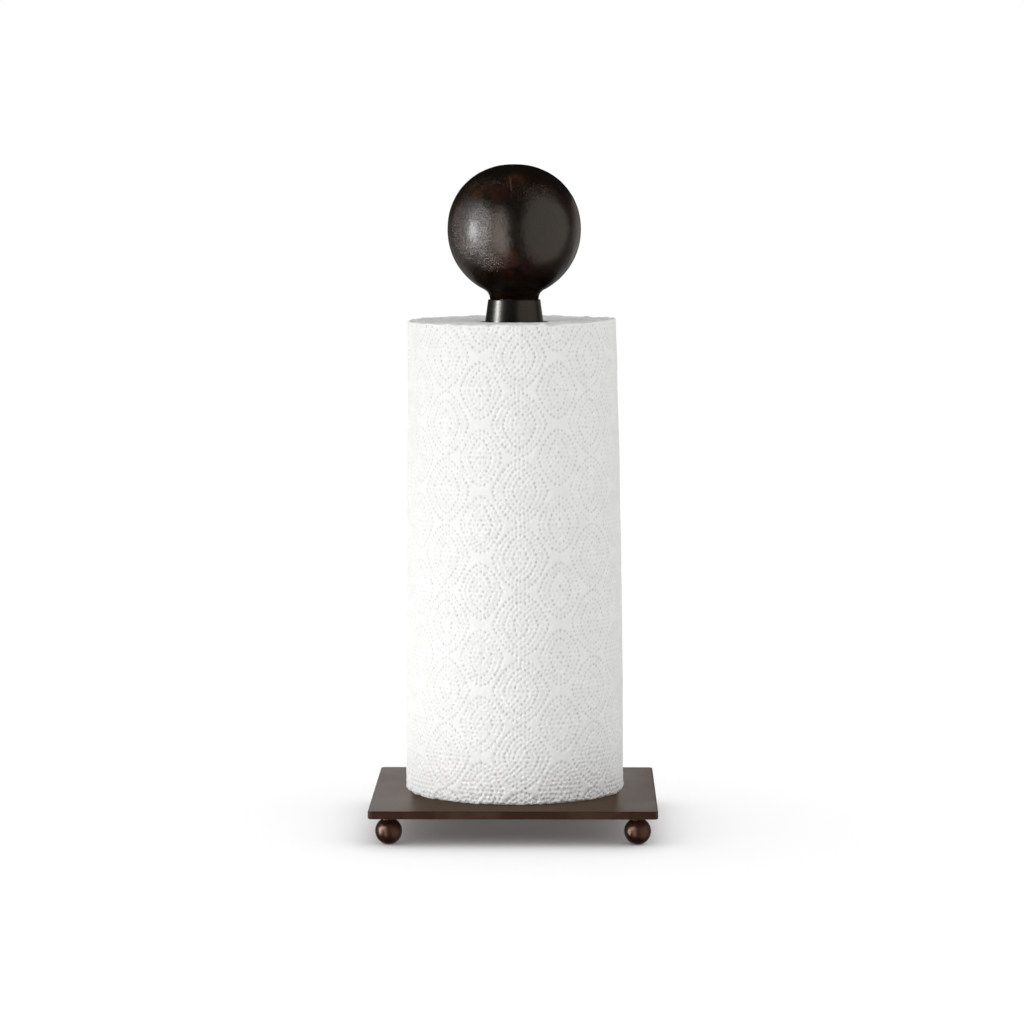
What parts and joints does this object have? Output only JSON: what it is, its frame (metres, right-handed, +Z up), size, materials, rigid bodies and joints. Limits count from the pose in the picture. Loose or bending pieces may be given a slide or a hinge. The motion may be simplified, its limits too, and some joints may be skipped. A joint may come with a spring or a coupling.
{
  "type": "paper towel holder",
  "caption": "Countertop paper towel holder: square plate on ball feet, upright post through a towel roll, and a ball finial that unscrews to change the roll.",
  "frame": {"origin": "on the surface that the feet stand on, under the middle of the base plate", "axes": "+Z up along the post, +X to the right and -Y towards the front, square with the plate's edges"},
  "size_m": [0.165, 0.165, 0.3865],
  "materials": {
    "bronze_plate": "satin",
    "bronze_foot": "satin",
    "lacquered_bronze": "gloss",
    "gunmetal": "satin",
    "dark_steel": "satin",
    "zinc_steel": "satin",
    "nylon": "satin",
    "core_card": "matte",
    "towel_paper": "matte"
  },
  "bodies": {
    "base": {"base_plate": "bronze_plate", "foot_ball_front_left": "bronze_foot", "foot_ball_front_right": "bronze_foot", "foot_ball_back_left": "bronze_foot", "foot_ball_back_right": "bronze_foot", "foot_stud_front_left": "zinc_steel", "foot_stud_front_right": "zinc_steel", "foot_stud_back_left": "zinc_steel", "foot_stud_back_right": "zinc_steel", "post_tube": "dark_steel", "post_bottom_plug": "zinc_steel", "post_screw": "zinc_steel", "flat_washer": "zinc_steel", "lock_washer": "zinc_steel", "post_top_plug": "zinc_steel", "finial_stud": "zinc_steel"},
    "washer": {"thrust_washer": "nylon"},
    "finial": {"finial_bush": "zinc_steel", "finial_collar": "gunmetal", "finial_ball": "lacquered_bronze"},
    "roll": {"roll_core": "core_card", "towel_roll": "towel_paper"}
  },
  "joints": [
    {"name": "roll_spin", "type": "hinge", "parent": "base", "child": "roll", "pos_m": [0, 0, 0.1583], "axis": [0, 0, 1], "continuous": true},
    {"name": "finial_lift", "type": "slide", "parent": "base", "child": "washer", "axis": [0, 0, 1], "range_m": [0, 0.01201]},
    {"name": "finial_turn", "type": "hinge", "parent": "washer", "child": "finial", "pos_m": [0, 0, 0.3], "axis": [0, 0, 1], "range_deg": [0, 2880]}
  ],
  "couplings": [
    {"joint": "finial_lift", "follows": "finial_turn", "m_per_rad": 0.00023873}
  ]
}
